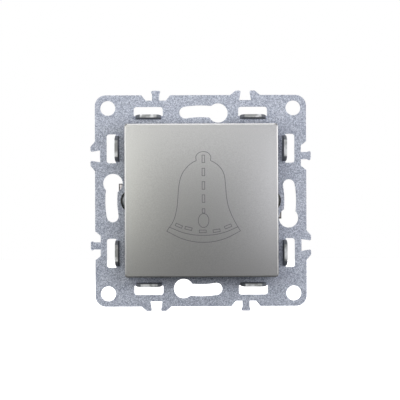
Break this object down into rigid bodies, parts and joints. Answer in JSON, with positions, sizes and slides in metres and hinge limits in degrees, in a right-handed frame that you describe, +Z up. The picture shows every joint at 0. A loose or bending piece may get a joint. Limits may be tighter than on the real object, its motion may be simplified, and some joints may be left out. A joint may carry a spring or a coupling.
{
  "type": "doorbell push button",
  "caption": "Flush-mounted doorbell push button: satin silver rocking cap with a thin-line bell sign on a galvanised mounting plate with dovetail edges and spreading claws.",
  "frame": {"origin": "the middle of the mounting plate's back face, which lies on the wall", "axes": "+X right as seen from the front, +Y into the wall, +Z up"},
  "size_m": [0.0738, 0.0342, 0.0738],
  "materials": {
    "galvanised_steel": "hot-dip galvanised sheet, fine matt speckle",
    "satin_silver_lacquer": "satin aluminium-silver lacquer on a moulded cap",
    "light_grey_plastic": "moulded, fine matt",
    "dark_grey_thermoset": "pressed urea thermoset, dull",
    "zinc_plated_steel": "bright zinc plated",
    "spring_steel": "drawn wire",
    "phosphor_bronze": "rolled strip",
    "terminal_brass": "stamped strip, bright",
    "silver_contact": "silver alloy, dull polish"
  },
  "bodies": {
    "insert": {"mounting_plate": "galvanised_steel", "housing_base": "dark_grey_thermoset", "housing_cover": "light_grey_plastic", "plate_rivets": "zinc_plated_steel", "arm_terminal_strip": "terminal_brass", "fixed_contact_strip": "terminal_brass", "fixed_contact": "silver_contact", "arm_pin": "zinc_plated_steel", "return_spring": "spring_steel", "arm_spring": "spring_steel"},
    "button": {"button_cap": "satin_silver_lacquer", "button_carrier": "light_grey_plastic"},
    "closing_arm": {"contact_arm": "phosphor_bronze", "moving_contact": "silver_contact"},
    "claw_screw_body_left": {"claw_screw_left": "zinc_plated_steel"},
    "claw_nut_body_left": {"claw_nut_left": "zinc_plated_steel"},
    "claw_body_left": {"claw_left": "zinc_plated_steel"},
    "terminal_screw_body_left": {"terminal_screw_left": "zinc_plated_steel"},
    "terminal_clamp_body_left": {"terminal_clamp_left": "terminal_brass"},
    "claw_screw_body_right": {"claw_screw_right": "zinc_plated_steel"},
    "claw_nut_body_right": {"claw_nut_right": "zinc_plated_steel"},
    "claw_body_right": {"claw_right": "zinc_plated_steel"},
    "terminal_screw_body_right": {"terminal_screw_right": "zinc_plated_steel"},
    "terminal_clamp_body_right": {"terminal_clamp_right": "terminal_brass"}
  },
  "joints": [
    {"name": "button_press", "type": "hinge", "parent": "insert", "child": "button", "pos_m": [0, -0.0025, 0], "axis": [1, 0, 0], "range_deg": [0, 4.5], "stiffness_Nm_per_rad": 0.3, "springref_deg": -5.73, "deforming": ["return_spring"]},
    {"name": "contact_swing", "type": "hinge", "parent": "insert", "child": "closing_arm", "pos_m": [0.0025, 0.0085, 0.002], "axis": [1, 0, 0], "range_deg": [0, 4.07], "deforming": ["arm_spring"]},
    {"name": "claw_screw_turn_left", "type": "hinge", "parent": "insert", "child": "claw_screw_body_left", "pos_m": [-0.0229, 0, 0], "axis": [0, 1, 0], "range_deg": [0, 1224]},
    {"name": "claw_nut_draw_left", "type": "slide", "parent": "insert", "child": "claw_nut_body_left", "axis": [0, -1, 0], "range_m": [0, 0.0017]},
    {"name": "claw_spread_left", "type": "hinge", "parent": "insert", "child": "claw_body_left", "pos_m": [-0.0186, 0.0086, 0], "axis": [0, 0, 1], "range_deg": [0, 25]},
    {"name": "terminal_screw_turn_left", "type": "hinge", "parent": "insert", "child": "terminal_screw_body_left", "pos_m": [-0.0095, 0.0167, -0.017], "axis": [0, -1, 0], "range_deg": [0, 1440]},
    {"name": "terminal_clamp_rise_left", "type": "slide", "parent": "insert", "child": "terminal_clamp_body_left", "axis": [0, 1, 0], "range_m": [0, 0.0024]},
    {"name": "claw_screw_turn_right", "type": "hinge", "parent": "insert", "child": "claw_screw_body_right", "pos_m": [0.0229, 0, 0], "axis": [0, 1, 0], "range_deg": [0, 1224]},
    {"name": "claw_nut_draw_right", "type": "slide", "parent": "insert", "child": "claw_nut_body_right", "axis": [0, -1, 0], "range_m": [0, 0.0017]},
    {"name": "claw_spread_right", "type": "hinge", "parent": "insert", "child": "claw_body_right", "pos_m": [0.0186, 0.0086, 0], "axis": [0, 0, -1], "range_deg": [0, 25]},
    {"name": "terminal_screw_turn_right", "type": "hinge", "parent": "insert", "child": "terminal_screw_body_right", "pos_m": [0.0095, 0.0167, -0.017], "axis": [0, -1, 0], "range_deg": [0, 1440]},
    {"name": "terminal_clamp_rise_right", "type": "slide", "parent": "insert", "child": "terminal_clamp_body_right", "axis": [0, 1, 0], "range_m": [0, 0.0024]}
  ],
  "couplings": [
    {"joint": "contact_swing", "follows": "button_press", "ratio": 0.904},
    {"joint": "claw_screw_turn_left", "follows": "claw_nut_draw_left", "rad_per_m": 12566},
    {"joint": "claw_spread_left", "follows": "claw_nut_draw_left", "rad_per_m": 256.67},
    {"joint": "terminal_screw_turn_left", "follows": "terminal_clamp_rise_left", "rad_per_m": 10472},
    {"joint": "claw_screw_turn_right", "follows": "claw_nut_draw_right", "rad_per_m": 12566},
    {"joint": "claw_spread_right", "follows": "claw_nut_draw_right", "rad_per_m": 256.67},
    {"joint": "terminal_screw_turn_right", "follows": "terminal_clamp_rise_right", "rad_per_m": 10472}
  ]
}
